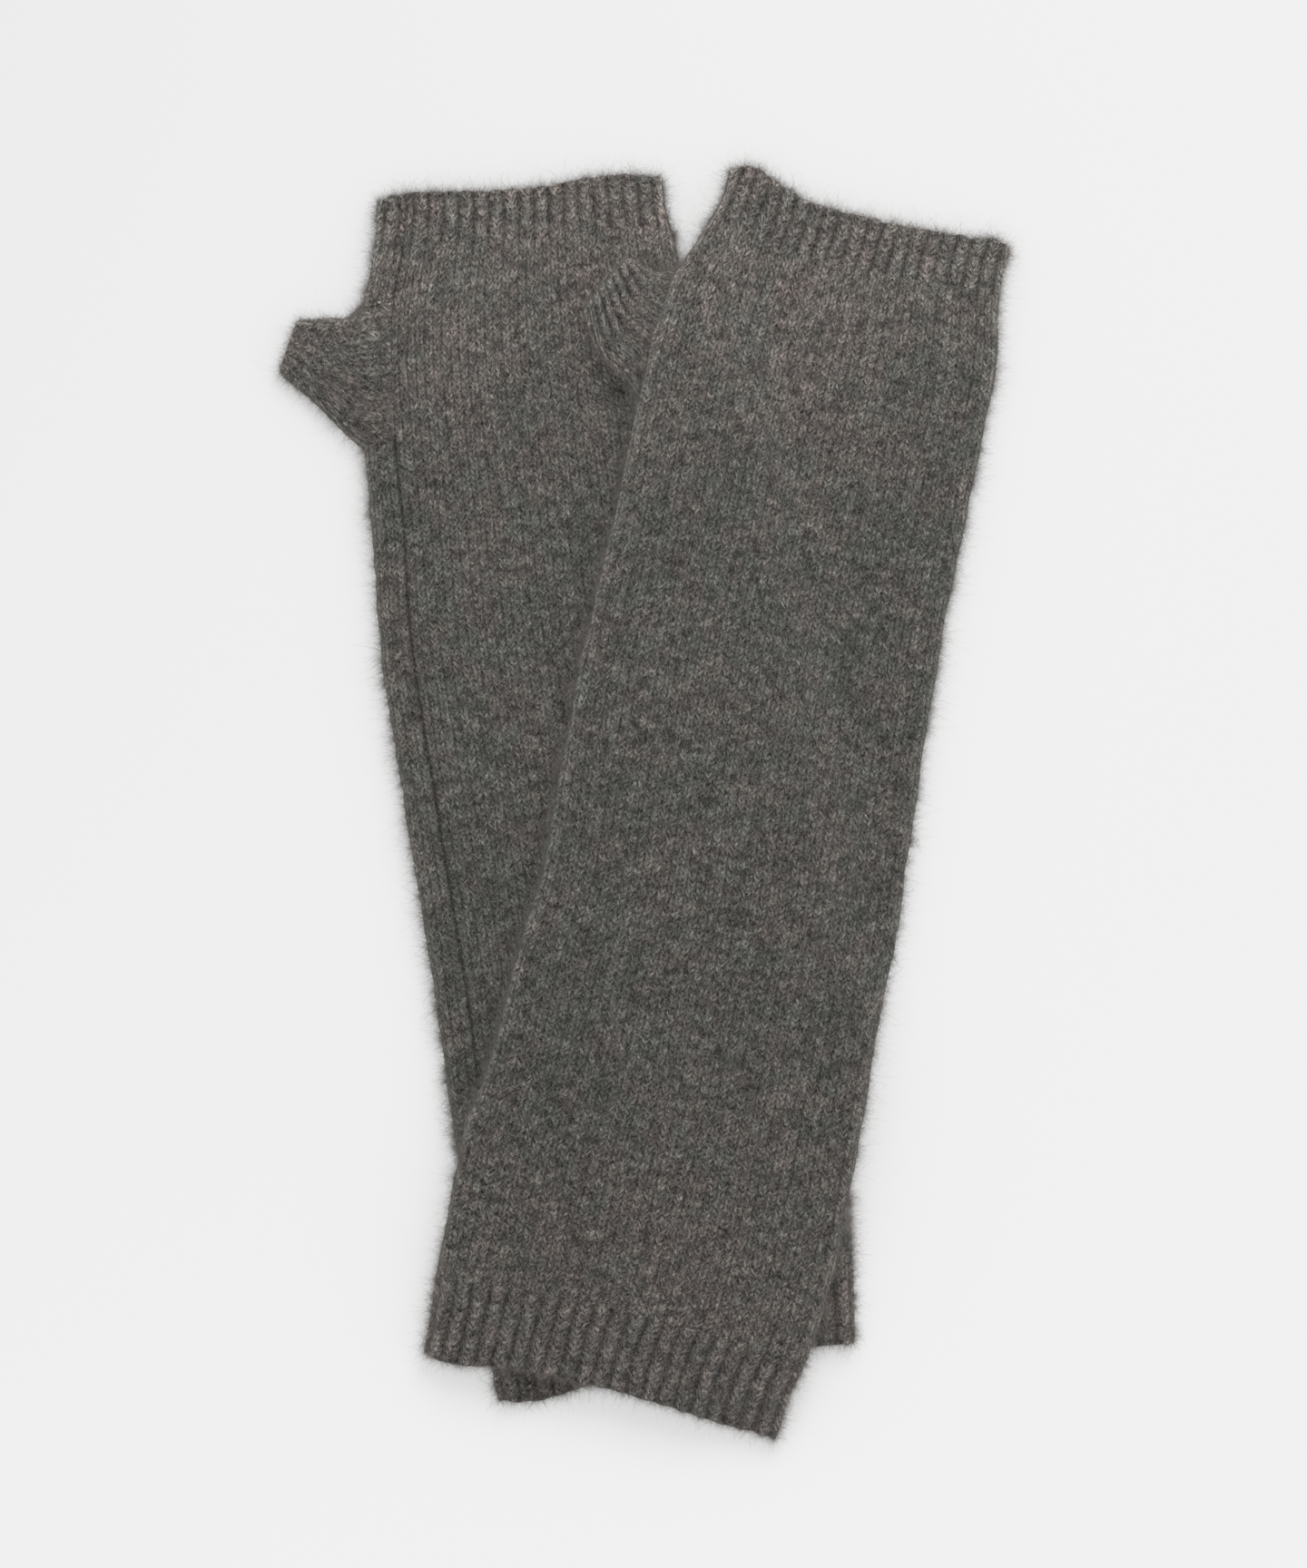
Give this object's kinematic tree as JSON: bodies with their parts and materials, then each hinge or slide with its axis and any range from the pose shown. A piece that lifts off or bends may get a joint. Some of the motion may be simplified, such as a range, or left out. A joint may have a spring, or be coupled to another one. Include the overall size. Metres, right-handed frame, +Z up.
{
  "type": "pair of knitted arm warmers",
  "caption": "Pair of long fingerless knitted arm warmers with ribbed hems and short open thumbs, laid flat with one lying across the other.",
  "frame": {"origin": "middle of the pair's footprint, on the surface it lies on", "axes": "+Z up from the surface, +Y along the pair from the arm hems to the hand hems, +X to the right with both thumbs pointing towards -X"},
  "size_m": [0.2178, 0.3784, 0.0096],
  "materials": {
    "knit_body": "brushed grey-brown melange stockinette with a fine hairy nap",
    "knit_rib": "brushed grey-brown melange 1x1 rib with a fine hairy nap",
    "knit_thumb": "brushed grey-brown melange stockinette with a fine hairy nap"
  },
  "bodies": {
    "root": {"over_body": "knit_body", "over_hand_rib": "knit_rib", "over_arm_rib": "knit_rib", "over_thumb": "knit_thumb", "over_thumb_rib": "knit_rib", "under_body": "knit_body", "under_hand_rib": "knit_rib", "under_arm_rib": "knit_rib", "under_thumb": "knit_thumb", "under_thumb_rib": "knit_rib"}
  },
  "joints": []
}
